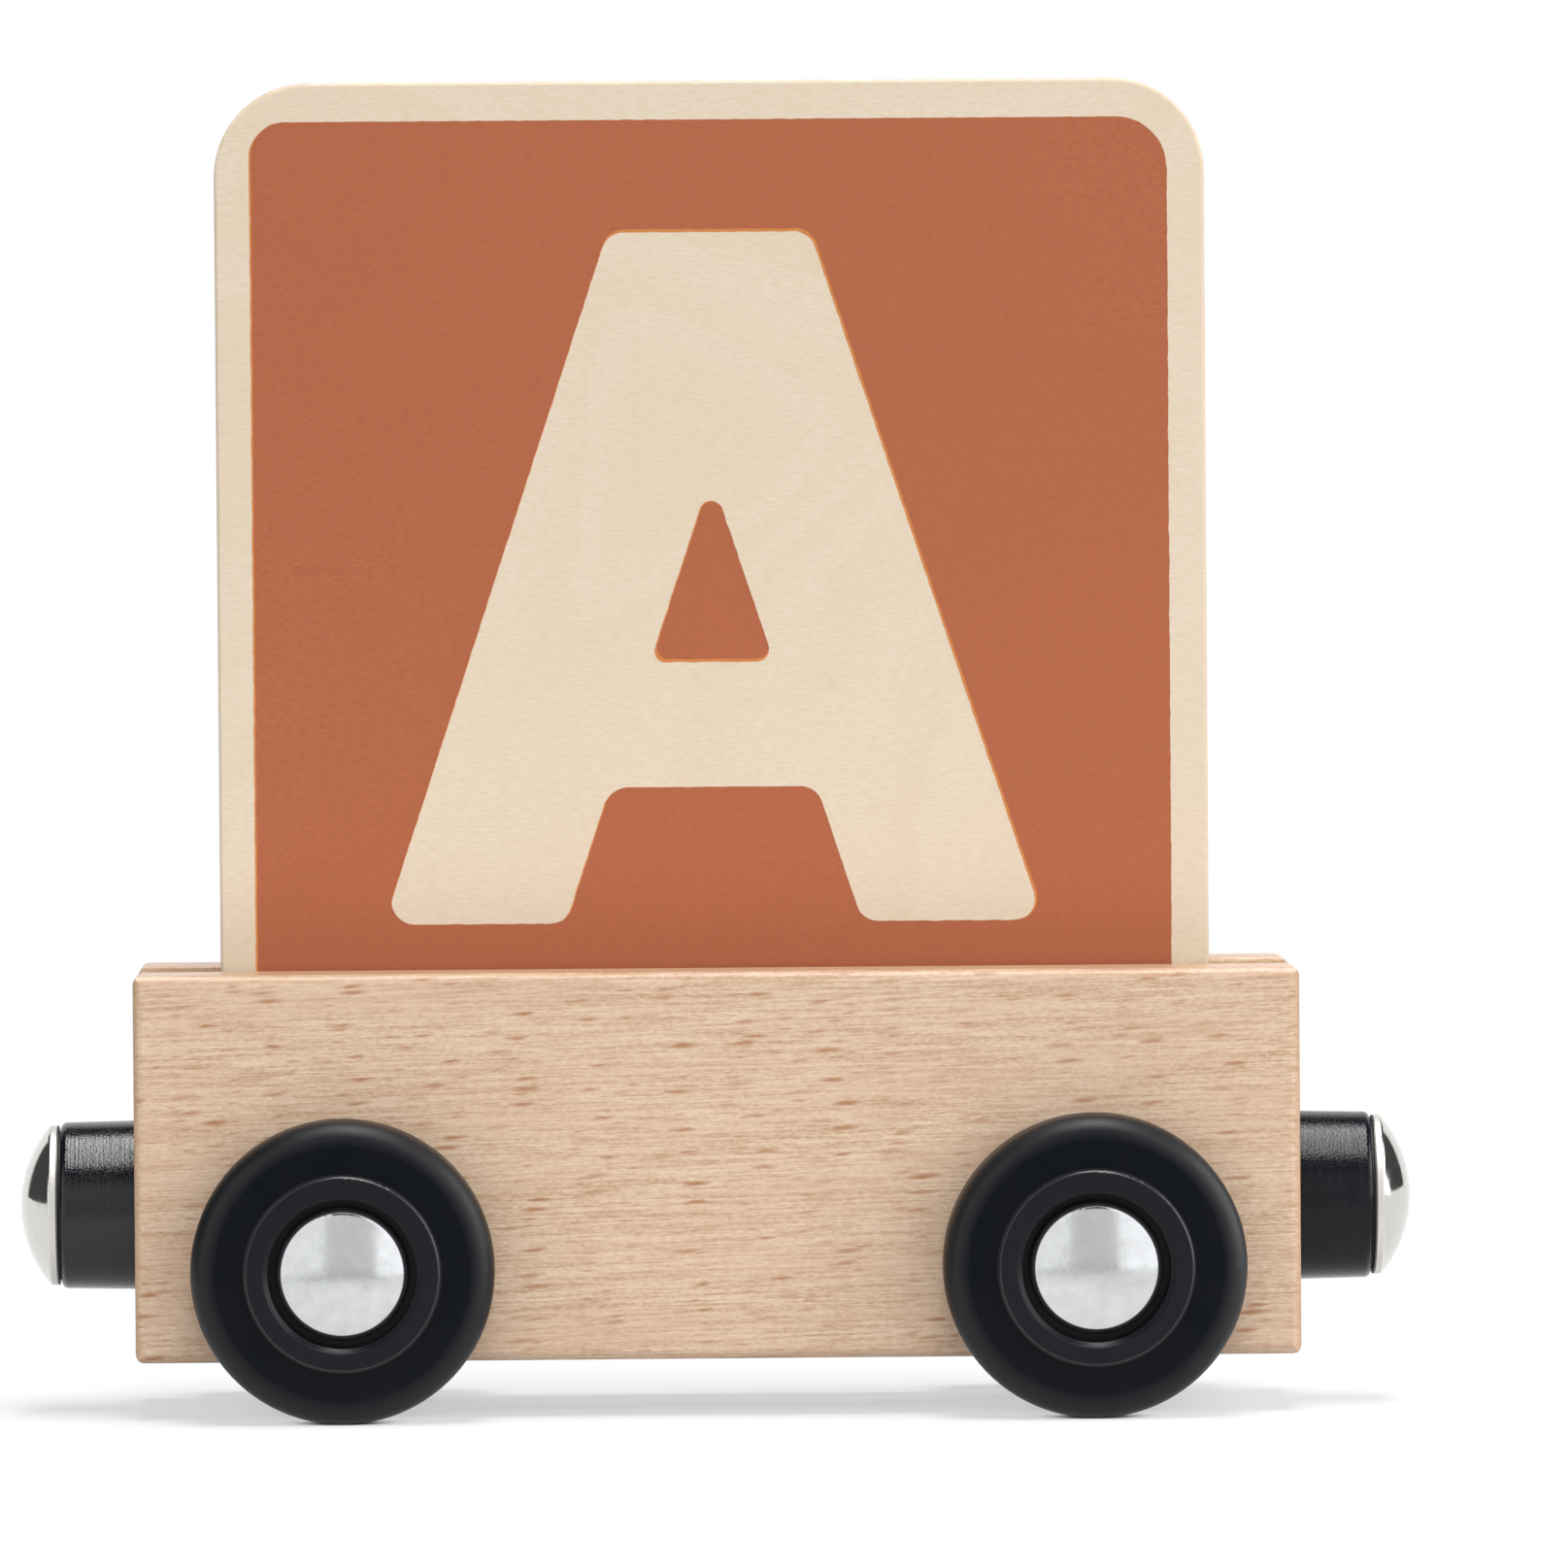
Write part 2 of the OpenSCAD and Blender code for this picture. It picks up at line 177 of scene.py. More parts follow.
class PlasticSettings(bpy.types.PropertyGroup):
    """Black moulded plastic of the wheels and the coupler barrels."""

    wheel: tint("Wheel", "Black of the wheels", "#040A0F")
    barrel: tint("Barrel", "Black of the coupler barrels", "#05050E")
    scuff: tint("Scuffs", "Greyer skin where the plastic is rubbed", "#1F1C23")
    recess_radius: length("Recess radius", "Radius of the recess for the cap, with its lip", 5.1)
    hub_radius: length("Hub radius", "Radius of the wheel's dull hub disc", 6.45)
    face_radius: length("Face radius", "Radius of the wheel's polished face", 8.3)
    tread_radius: length("Tread radius", "Outer radius of the wheel", 10)
    grit: length("Mould grit", "Grain size that the mould leaves", 0.14)
    line_gap: length("Turning lines", "Distance between the barrels' turning lines", 0.16)
    face_roughness: share("Face roughness", "Gloss of the wheels' polished face", 0.18)
    lip_roughness: share("Lip roughness", "Gloss of the edges of the wheels' hub discs", 0.3)
    hub_roughness: share("Hub roughness", "Gloss of the wheels' hub discs", 0.45)
    shoulder_roughness: share("Shoulder roughness", "Gloss of the wheels' rubbed shoulder", 0.42)
    barrel_roughness: share("Barrel roughness", "Gloss of the barrels", 0.17)
    left_shine: share("Left shine", "Share of the shine on the left barrel", 0.4)
    right_shine: share("Right shine", "Share of the shine on the right barrel, which is more rubbed", 0.19)
    left_lines: share("Left lines", "Depth of the left barrel's turning lines", 0.7)
    right_lines: share("Right lines", "Depth of the right barrel's turning lines", 1.0)


class SteelSettings(bpy.types.PropertyGroup):
    """Steel of the caps, nails, axles, springs, and the ferrite magnets."""

    zinc: tint("Zinc", "Zinc plating of the axle caps", "#D5D7D9")
    # The shoulder colour is painted shade: it darkens the caps' shoulder as if the wheel's recess shaded it
    shoulder: tint("Shoulder", "Drawn shoulder of the axle caps, where the plating is thin", "#4C4D51")
    nickel: tint("Nickel", "Nickel plating of the coupler nails", "#DAD8D3")
    # The rim's back colour is painted shade that widens the dark gap between the nail's rim and the barrel
    painted_rim_shade: tint("Tarnish", "Unpolished back of the nails' rims", "#5A5854")
    drawn: tint("Drawn steel", "Bare drawn steel of the axles", "#C6C7C9")
    spring: tint("Spring steel", "Hardened steel of the cap springs", "#8D9096")
    ferrite: tint("Ferrite", "Sintered ferrite of the magnets", "#3C3B3D")
    tumble: length("Tumbling marks", "Size of the dents that tumbling leaves on the caps", 0.2)
    cap_face: length("Cap face", "Radius of the caps' bright dome", 4.0)
    cap_crown: length("Cap crown", "Radius of the caps' dome", 14)
    nail_crown: length("Nail crown", "Radius of the nails' dome", 8.1)
    rim: length("Rim", "Distance from the car's middle to the front of the domes' rims", 44.3)
    # Past this width the back of the rim takes painted shade
    unshaded_rim: length("Bright rim", "Width of the nails' rims that the polish has brightened", 0.4)
    scratch_gap: length("Scratches", "Distance between drawing scratches", 0.08)
    zinc_roughness: share("Zinc roughness", "Gloss of the caps", 0.15)
    nickel_roughness: share("Nickel roughness", "Gloss of the polished domes", 0.07)


class StageSettings(bpy.types.PropertyGroup):
    """Floor, lights and camera."""

    floor: tint("Floor", "White table, as the steel mirrors it", "#E4E4E5")
    floor_view: tint("Floor in view", "Cool tint of the table in view", "#E9EDF1")
    floor_bounce: share("Bounce", "Share of its light that the table throws back on the car", 0.6)
    front_edge: length("Front edge", "Distance from the car's middle to the table's front edge", 95)
    lit_radius: length("Lit radius", "Where the floor starts to burn out to white", 48)
    white_radius: length("White radius", "Where the floor is as white as the background", 66)
    floor_gain: level("Floor exposure", "Exposure of the floor against that of the car", 0.95)
    floor_glow: share("Floor glow", "Share of the shadow that the backdrop's light fills", 0.58)
    contact: length("Contact", "How far off the wheels the backdrop's light is still shut out", 10)
    top_level: level("Top softbox", "Brightness of the softbox over the car", 11.6)
    right_level: level("Right softbox", "Brightness of the softbox at the right end", 4.2)
    reflector_level: level("Reflector", "Brightness of the reflector at the front right", 1.35)
    front_level: level("Front", "Brightness of the wall behind the camera", 0.7)
    low_level: level("Low card", "Brightness of the card under the wall behind the camera", 0.55)
    fill_level: level("Left fill", "Brightness of the reflector at the front left", 1.06)
    room_level: level("Room", "Brightness of the dark room round the lamps", 0.07)
    camera_place: FloatVectorProperty(
        name="Camera", description="Place of the camera", subtype="TRANSLATION", unit="LENGTH",
        default=(-11.22 * MM, -900 * MM, 72.2 * MM),
    )
    yaw: angle("Yaw", "Turn of the camera to the right", 1.0155)
    pitch: angle("Pitch", "Tilt of the camera down", 1.959)
    roll: angle("Roll", "Lean of the camera to the right", 0.425)
    lens: FloatProperty(
        name="Lens", description="Focal length on a 36 mm sensor", default=310.25, unit="CAMERA"
    )


def add(tree, kind, inputs=None, out=0, stops=None, **settings):
    """Adds one shader node with its settings, links or fills its inputs, and returns one of its outputs."""
    node = tree.nodes.new("ShaderNode" + kind)
    for name, value in settings.items():
        setattr(node, name, value)
    for socket, value in (inputs or {}).items():
        if isinstance(value, bpy.types.NodeSocket):
            tree.links.new(value, node.inputs[socket])
        else:
            node.inputs[socket].default_value = value
    for i, (place, colour) in enumerate(stops or ()):
        element = node.color_ramp.elements[i] if i < 2 else node.color_ramp.elements.new(place)
        element.position = place
        element.color = colour
    return node.outputs[out] if node.outputs else node


def new_tree(name):
    """New material, its emptied node tree and the object coordinates in it."""
    material = bpy.data.materials.new(name)
    material.use_nodes = True
    material.node_tree.nodes.clear()
    return material, material.node_tree, add(material.node_tree, "TexCoord", out="Object")


def finish_surface(tree, inputs):
    """Closes a material's tree with its one surface shader."""
    shader = add(tree, "BsdfPrincipled", inputs)
    add(tree, "OutputMaterial", {"Surface": shader})


def scaled(colour, factor):
    """A colour made darker or brighter."""
    return [c * factor for c in colour[:3]] + [1.0]


def dress(nodes, material):
    """Puts one material on whole CAD nodes."""
    for name in nodes:
        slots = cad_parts[name].data.materials
        slots.clear()
        slots.append(material)


def grains(tree, vector, size, out=0, **more):
    """Noise in cells of the given size in metres."""
    cell = add(tree, "Mapping", {"Vector": vector, "Scale": [1 / side for side in size]})
    return add(tree, "TexNoise", {"Vector": cell, "Scale": 1, "Detail": 2} | more, out=out)


def streaks(tree, vector, size, spread=0.2, **more):
    """Noise in cells of the given size in metres, spread so that most of it runs from 0 to 1."""
    value = grains(tree, vector, size, **more)
    return add(tree, "MapRange", {"Value": value, "From Min": 0.5 - spread, "From Max": 0.5 + spread})


def facing(tree, axis):
    """How squarely the surface faces along one object axis, from 0 to 1."""
    normal = add(tree, "TexCoord", out="Normal")
    part = add(tree, "SeparateXYZ", {0: normal}, out=axis)
    return add(tree, "Math", {0: part}, operation="ABSOLUTE")


def painted_edge_shade(tree, shade, colour):
    """Darkens wood that turns up or towards the right end: painted shade that takes back the light the top
    and right lamps throw on those edges.
    """
    normal = add(tree, "TexCoord", out="Normal")
    up_right = (0.6, 0, 0.8)
    turned = add(tree, "VectorMath", {0: normal, 1: up_right}, out="Value", operation="DOT_PRODUCT")
    turned = add(tree, "MapRange", {"Value": turned, "From Min": 0.06, "From Max": 0.4})
    return add(tree, "Mix", {0: turned, FIRST: colour, SECOND: shade}, blend_type="MULTIPLY", **COLOUR_MIX)


def sanded_beech(wood):
    """Beech, planed, sanded and waxed: fine fibre lines, short dark ray flecks and soft warm bands."""
    material, tree, place = new_tree("sanded_beech")
    grain = add(tree, "Mapping", {"Vector": place, "Rotation": (0, wood.slope, 0)})

    # Fibres run far along X in fine lines and in wider strands. One fibre is about 0.02 mm wide, too fine
    # to show, so the finest lines are drawn several fibres wide
    gap = wood.fibre_gap
    fine = streaks(tree, grain, (36 * gap, 1.5 * gap, gap), 0.13)
    short = streaks(tree, grain, (3 * gap, 1.5 * gap, gap), 0.12)
    strand = streaks(tree, grain, (70 * gap, 6 * gap, 4 * gap))
    # Growth rings lie nearly flat to the near face, so there they show as wide soft bands
    sway = 3 * MM
    bend = streaks(tree, grain, (90 * MM, 16 * MM, 11 * MM), Detail=1)
    across = add(tree, "SeparateXYZ", {0: grain}, out="Y")
    depth = add(tree, "Math", {0: bend, 1: sway, 2: across}, operation="MULTIPLY_ADD")
    ring = add(tree, "Math", {0: depth, 1: wood.ring_width, 2: 0}, operation="WRAP")
    ring = add(tree, "MapRange", {"Value": ring, "From Max": wood.ring_width, "To Min": 1, "To Max": 0})
    tone = 0.0
    for layer, weight in ((fine, 0.44), (short, 0.33), (strand, 0.17), (ring, 0.1)):
        tone = add(tree, "Math", {0: layer, 1: weight, 2: tone}, operation="MULTIPLY_ADD")
    tones = (0, wood.dark), (1, wood.pale), (0.5, wood.middle)
    colour = add(tree, "ValToRGB", {"Fac": tone}, stops=tones)
    patch = streaks(tree, grain, (22 * MM, 9 * MM, 3 * MM))
    patch = add(tree, "Math", {0: patch, 1: 0.5}, operation="MULTIPLY")
    colour = add(tree, "Mix", {0: patch, FIRST: colour, SECOND: wood.warm}, **COLOUR_MIX)

    # A ray is a thin ribbon that runs through the block along Y, so its ends are flecks on the long faces
    lengthwise = add(tree, "Mapping", {"Vector": grain, "Rotation": (-math.pi / 2, 0, -wood.fleck_lean)})
    bow = grains(tree, lengthwise, (1.4 * MM, 0.5 * MM, 1), out="Color", Detail=1)
    shift = (0.6 * MM, 0.22 * MM, 0)
    bowed = add(tree, "VectorMath", {0: bow, 1: shift, 2: lengthwise}, operation="MULTIPLY_ADD")
    fray = streaks(tree, grain, (0.5 * MM, 0.5 * MM, gap))
    crowd = streaks(tree, grain, (18 * MM, 12 * MM, 7 * MM))
    flecks = 0.0
    # Large and small flecks: their size, how much of its cell one fills, how rare they are, and how dark
    for size, reach, rare, strength in ((1.0, 0.26, 0.42, 0.95), (0.6, 0.22, 0.28, 0.6)):
        wide, high = wood.fleck_length * size / 2 / reach, wood.fleck_width * size / 2 / reach
        cell = add(tree, "Mapping", {"Vector": bowed, "Scale": (1 / wide, 1 / high, 1)})
        ray = add(tree, "TexVoronoi", {"Vector": cell, "Scale": 1}, voronoi_dimensions="2D").node.outputs
        chance = add(tree, "SeparateColor", {0: ray["Color"]}, out="Red")
        chance = add(tree, "Math", {0: crowd, 1: 0.3, 2: chance}, operation="MULTIPLY_ADD")
        chance = add(tree, "MapRange", {
            "Value": chance, "From Min": rare, "From Max": 1.1, "To Max": strength,
        })
        bulk = add(tree, "SeparateColor", {0: ray["Color"]}, out="Green")
        bulk = add(tree, "Math", {0: fray, 1: 0.4, 2: bulk}, operation="MULTIPLY_ADD")
        edge = add(tree, "MapRange", {
            "Value": bulk, "From Max": 1.4, "To Min": 0.5 * reach, "To Max": 1.15 * reach,
        })
        body = add(tree, "MapRange", {"Value": ray["Distance"], "From Min": edge, "From Max": 0})
        body = add(tree, "Math", {0: body, 1: 1.3}, operation="MULTIPLY", use_clamp=True)
        spot = add(tree, "Math", {0: body, 1: chance}, operation="MULTIPLY")
        flecks = add(tree, "Math", {0: flecks, 1: spot}, operation="MAXIMUM")
    long_face = add(tree, "MapRange", {"Value": facing(tree, "Y"), "From Min": 0.3, "From Max": 0.8})
    flecks = add(tree, "Math", {0: flecks, 1: long_face}, operation="MULTIPLY")
    colour = add(tree, "Mix", {0: flecks, FIRST: colour, SECOND: wood.fleck}, **COLOUR_MIX)

    # Cut fibres drink the wax, so both ends of the block are darker
    cut = add(tree, "MapRange", {
        "Value": facing(tree, "X"), "From Min": 0.35, "From Max": 0.9, "To Max": 0.7,
    })
    colour = add(tree, "Mix", {0: cut, FIRST: colour, SECOND: wood.end_grain}, **COLOUR_MIX)
    gloss = add(tree, "MapRange", {
        "Value": tone, "To Min": wood.roughness + 0.1, "To Max": wood.roughness - 0.04,
    })
    bump = add(tree, "Bump", {"Height": tone, "Strength": 0.3, "Distance": 0.02 * MM})
    # Painted shade on the edges that turn up or to the right
    colour = painted_edge_shade(tree, wood.edge, colour)
    finish_surface(tree, {
        "Base Color": colour, "Roughness": gloss, "Normal": bump, "IOR": 1.5,
        "Coat Weight": wood.wax, "Coat Roughness": wood.wax_roughness, "Coat IOR": 1.44,
    })
    return material


def foot_shade(tree, place, shade, colour):
    """Lays the block's shade on the plate's foot, because the lamps are too even to cast it."""
    reach = 9 * MM
    block_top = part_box("wagon_body")[1].z
    height = add(tree, "SeparateXYZ", {0: place}, out="Z")
    near = add(tree, "MapRange", {"Value": height, "From Min": block_top + reach, "From Max": block_top})
    near = add(tree, "Math", {0: near, 1: 2}, operation="POWER")
    return add(tree, "Mix", {0: near, FIRST: colour, SECOND: shade}, blend_type="MULTIPLY", **COLOUR_MIX)


def birch_plywood(plate):
    """Birch plywood, sanded: a pale, nearly plain face veneer, with brown cross plies along the edges."""
    material, tree, place = new_tree("birch_plywood")
    # Birch fibres are too fine to show, so the grain lines are drawn several fibres wide
    gap = plate.grain_gap
    grain = streaks(tree, place, (4 * gap, 4 * gap, gap), 0.16, Detail=3)
    face = add(tree, "Mix", {0: grain, FIRST: plate.pale, SECOND: plate.shade}, **COLOUR_MIX)

    # The veneer is peeled off the log, so each ring is a wide wandering band with one ragged edge
    field = streaks(tree, place, (38 * MM, 90 * MM, 44 * MM), Detail=1, Distortion=0.5)
    ragged = streaks(tree, place, (3 * MM, 3 * MM, 0.35 * MM))
    ring = add(tree, "Math", {0: ragged, 1: 0.05, 2: field}, operation="MULTIPLY_ADD")
    ring = add(tree, "Math", {0: ring, 1: 4.0}, operation="MULTIPLY")
    ring = add(tree, "Math", {0: ring}, operation="FRACT")
    late = add(tree, "MapRange", {"Value": ring, "From Max": 0.7, "To Min": 0.2, "To Max": 0})
    face = add(tree, "Mix", {0: late, FIRST: face, SECOND: plate.late}, **COLOUR_MIX)

    # Every second ply shows its cut ends along the edges, with pores drawn coarser than their real 0.1 mm
    depth = add(tree, "SeparateXYZ", {0: place}, out="Y")
    depth = add(tree, "Math", {0: depth, 1: plate.ply}, operation="DIVIDE")
    layer = add(tree, "Math", {0: depth, 1: 1.0}, operation="PINGPONG")
    layer = add(tree, "MapRange", {"Value": layer, "From Min": 0.52, "From Max": 0.48})
    pores = streaks(tree, place, (0.5 * MM, 0.25 * MM, 0.5 * MM))
    layer = add(tree, "Math", {0: layer, 1: pores}, operation="MULTIPLY")
    edge = add(tree, "MapRange", {"Value": facing(tree, "Y"), "From Min": 0.6, "From Max": 0.2})
    layer = add(tree, "Math", {0: layer, 1: edge}, operation="MULTIPLY")
    colour = add(tree, "Mix", {0: layer, FIRST: face, SECOND: plate.cross_ply}, **COLOUR_MIX)
    # Painted shade on the edges that turn up or to the right
    colour = painted_edge_shade(tree, plate.edge, colour)
    colour = foot_shade(tree, place, plate.foot, colour)

    gloss = add(tree, "MapRange", {
        "Value": grain, "To Min": plate.roughness - 0.03, "To Max": plate.roughness + 0.08,
    })
    bump = add(tree, "Bump", {"Height": grain, "Strength": 0.2, "Distance": 0.015 * MM}, invert=True)
    finish_surface(tree, {
        "Base Color": colour, "Roughness": gloss, "Normal": bump, "IOR": 1.5,
        "Coat Weight": plate.varnish, "Coat Roughness": plate.varnish_roughness, "Coat IOR": 1.5,
    })
    return material


def terracotta_ink(print_, plate):
    """Screen-printed terracotta ink: matt and even, a little thicker in pools with dry speckled rims."""
    material, tree, place = new_tree("terracotta_ink")
    gap = plate.grain_gap
    grain = streaks(tree, place, (3 * gap, 3 * gap, gap), 0.16, Detail=3)
    speckle = streaks(tree, place, (0.5 * MM, 0.5 * MM, 0.25 * MM), 0.15)
    pool = grains(tree, place, (44 * MM, 44 * MM, 30 * MM), Detail=3, Distortion=0.6)
    thick = add(tree, "MapRange", {"Value": pool, "From Min": 0.48, "From Max": 0.72, "To Max": 0.3})
    border = add(tree, "Math", {0: pool, 1: 0.6, 2: 0.05}, operation="COMPARE")
    rim = add(tree, "MapRange", {"Value": pool, "From Min": 0.53, "From Max": 0.65})
    rim = add(tree, "Math", {0: rim, 1: border}, operation="MULTIPLY")
    dry = add(tree, "Math", {0: rim, 1: 0.2, 2: 0.08}, operation="MULTIPLY_ADD")
    dry = add(tree, "Math", {0: dry, 1: speckle}, operation="MULTIPLY")
    shade = add(tree, "Math", {0: grain, 1: 0.5, 2: thick}, operation="MULTIPLY_ADD")
    colour = add(tree, "Mix", {0: shade, FIRST: print_.ink, SECOND: print_.thick_ink}, **COLOUR_MIX)
    colour = add(tree, "Mix", {0: dry, FIRST: colour, SECOND: print_.thin_ink}, **COLOUR_MIX)
    colour = foot_shade(tree, place, plate.foot, colour)
    gloss = add(tree, "MapRange", {
        "Value": speckle, "To Min": print_.roughness, "To Max": print_.roughness + 0.1,
    })
    bump = add(tree, "Bump", {"Height": grain, "Strength": 0.15, "Distance": 0.01 * MM}, invert=True)
    finish_surface(tree, {"Base Color": colour, "Roughness": gloss, "Normal": bump, "IOR": 1.48})
    return material


def orange_ground_ink(print_):
    """First pass of the screen print: a thin orange ink that shows only as an uneven fringe."""
    material, tree, place = new_tree("orange_ground_ink")
    blot = grains(tree, place, (0.8 * MM, 0.8 * MM, 0.5 * MM))
    blot = add(tree, "Math", {0: blot, 1: 0.5}, operation="MULTIPLY")
    colour = add(tree, "Mix", {0: blot, FIRST: print_.ground, SECOND: print_.thin_ink}, **COLOUR_MIX)
    finish_surface(tree, {"Base Color": colour, "Roughness": print_.roughness, "IOR": 1.48})
    return material


def axis_distance(tree, place, node, across):
    """Distance from the axis of a round node, or of its likes at the other end and on the other side."""
    lo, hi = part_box(node)
    mirrored = add(tree, "VectorMath", {0: place}, operation="ABSOLUTE")
    away = add(tree, "VectorMath", {0: mirrored, 1: (lo + hi) / 2}, operation="SUBTRACT")
    away = add(tree, "VectorMath", {0: away, 1: across}, operation="MULTIPLY")
    return add(tree, "VectorMath", {0: away}, out="Value", operation="LENGTH")


def dome_normal(tree, place, middle, away, reach):
    """Normal of a dome round its middle, out to the given reach, where a mesh is uneven at the pole."""
    mirrored = add(tree, "VectorMath", {0: place}, operation="ABSOLUTE")
    side = add(tree, "VectorMath", {0: place}, operation="SIGN")
    outward = add(tree, "VectorMath", {0: mirrored, 1: middle}, operation="SUBTRACT")
    outward = add(tree, "VectorMath", {0: outward, 1: side}, operation="MULTIPLY")
    outward = add(tree, "VectorTransform", {
        0: outward,
    }, vector_type="NORMAL", convert_from="OBJECT", convert_to="WORLD")
    inside = add(tree, "Math", {0: away, 1: reach}, operation="LESS_THAN")
    mesh = add(tree, "NewGeometry", out="Normal")
    return add(tree, "Mix", {0: inside, FIRST_VECTOR: mesh, SECOND_VECTOR: outward}, **VECTOR_MIX)


def moulded_wheel_plastic(plastic):
    """Black polypropylene, moulded: deep black on its polished face, greyer on hub and shoulder."""
    material, tree, place = new_tree("moulded_wheel_plastic")
    # The mould's grit is about 0.03 mm, too fine to show, so it is drawn coarser here and on the barrels
    grit = streaks(tree, place, [plastic.grit] * 3)
    rub = streaks(tree, place, [2.6 * MM] * 3, Detail=4)
    # Roughness, share of the shine and greyness of each ring, by its distance from the axle
    mouth = (plastic.lip_roughness, 0.2, 0.3, 1)
    lip = (plastic.lip_roughness, 0.6, 0.8, 1)
    hub = (plastic.hub_roughness, 0.2, 0.2, 1)
    face = (plastic.face_roughness, 0.11, 0.06, 1)
    shoulder = (plastic.shoulder_roughness, 0.34, 0.1, 1)
    away = axis_distance(tree, place, "right_axle", (1, 0, 1))
    away = add(tree, "Math", {0: away, 1: 1 / plastic.tread_radius}, operation="MULTIPLY")
    recess = plastic.recess_radius / plastic.tread_radius
    edge = plastic.hub_radius / plastic.tread_radius
    bend = plastic.face_radius / plastic.tread_radius
    sharp, soft = 0.01, 0.09
    ring = add(tree, "ValToRGB", {"Fac": away}, stops=(
        (0, mouth), (1, shoulder), (recess, mouth), (recess + sharp, hub),
        (edge - 2 * sharp, hub), (edge - sharp, lip), (edge, lip), (edge + sharp, face),
        (bend, face), (bend + soft, shoulder),
    ))
    channels = ("Red", "Green", "Blue")
    gloss, shine, worn = [add(tree, "SeparateColor", {0: ring}, out=channel) for channel in channels]
    gloss = add(tree, "Math", {0: rub, 1: 0.06, 2: gloss}, operation="MULTIPLY_ADD")
    worn = add(tree, "Math", {0: rub, 1: 0.1, 2: worn}, operation="MULTIPLY_ADD")
    colour = add(tree, "Mix", {0: worn, FIRST: plastic.wheel, SECOND: plastic.scuff}, **COLOUR_MIX)
    bump = add(tree, "Bump", {"Height": grit, "Strength": 0.2, "Distance": 0.006 * MM})
    finish_surface(tree, {
        "Base Color": colour, "Roughness": gloss, "Normal": bump, "IOR": 1.49, "Specular IOR Level": shine,
    })
    return material


def turned_barrel_plastic(plastic, name, shine, depth):
    """Black moulded plastic with fine turning lines round the barrel, which break up its shine."""
    material, tree, place = new_tree(name)
    # Real turning lines lie about 0.05 mm apart, too fine to show, so they are drawn further apart
    lines = streaks(tree, place, (plastic.line_gap, 4 * MM, 4 * MM))
    grit = streaks(tree, place, [plastic.grit] * 3)
    skin = add(tree, "Math", {0: lines, 1: 0.7, 2: grit}, operation="MULTIPLY_ADD")
    dust = add(tree, "Math", {0: lines, 1: 0.3}, operation="MULTIPLY")
    colour = add(tree, "Mix", {0: dust, FIRST: plastic.barrel, SECOND: plastic.scuff}, **COLOUR_MIX)
    gloss = add(tree, "MapRange", {
        "Value": grit, "To Min": plastic.barrel_roughness - 0.09, "To Max": plastic.barrel_roughness + 0.14,
    })
    bump = add(tree, "Bump", {"Height": skin, "Strength": depth, "Distance": 0.008 * MM})
    finish_surface(tree, {
        "Base Color": colour, "Roughness": gloss, "Normal": bump, "IOR": 1.58, "Specular IOR Level": shine,
    })
    return material


def tumbled_zinc(steel):
    """Sheet steel, zinc-plated and tumbled: bright satin metal with tiny dents, a duller shoulder, and
    painted shade that darkens the shoulder.
    """
    material, tree, place = new_tree("tumbled_zinc")
    # Tumbling leaves dents of about 0.05 mm, too fine to show, so they are drawn coarser
    dents = streaks(tree, place, [steel.tumble] * 3, Detail=3)
    cloud = streaks(tree, place, [1.1 * MM] * 3, Detail=3)
    gloss = add(tree, "Math", {0: dents, 1: cloud}, operation="MULTIPLY")
    gloss = add(tree, "MapRange", {
        "Value": gloss, "To Min": steel.zinc_roughness - 0.03, "To Max": steel.zinc_roughness + 0.13,
    })
    # Drawing the sheet over the die's edge leaves the shoulder duller. Its dark colour is painted shade,
    # standing in for the shade of the wheel's recess round the cap
    away = axis_distance(tree, place, "right_axle", (1, 0, 1))
    drawn = add(tree, "MapRange", {
        "Value": away, "From Min": steel.cap_face, "From Max": steel.cap_face + 0.06 * MM,
    })
    gloss = add(tree, "Math", {0: drawn, 1: 0.45, 2: gloss}, operation="MULTIPLY_ADD")
    lo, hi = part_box("right_far_axle_cap")
    middle = ((lo.x + hi.x) / 2, hi.y - steel.cap_crown, (lo.z + hi.z) / 2)
    normal = dome_normal(tree, place, middle, away, 0.8 * steel.cap_face)
    bump = add(tree, "Bump", {"Height": dents, "Strength": 0.25, "Distance": 0.004 * MM, "Normal": normal})
    dull = scaled(steel.zinc, 0.88)
    colour = add(tree, "Mix", {0: cloud, FIRST: steel.zinc, SECOND: dull}, **COLOUR_MIX)
    # Painted shade: the shoulder takes the dark shoulder colour
    colour = add(tree, "Mix", {0: drawn, FIRST: colour, SECOND: steel.shoulder}, **COLOUR_MIX)
    finish_surface(tree, {"Base Color": colour, "Metallic": 1.0, "Roughness": gloss, "Normal": bump})
    return material


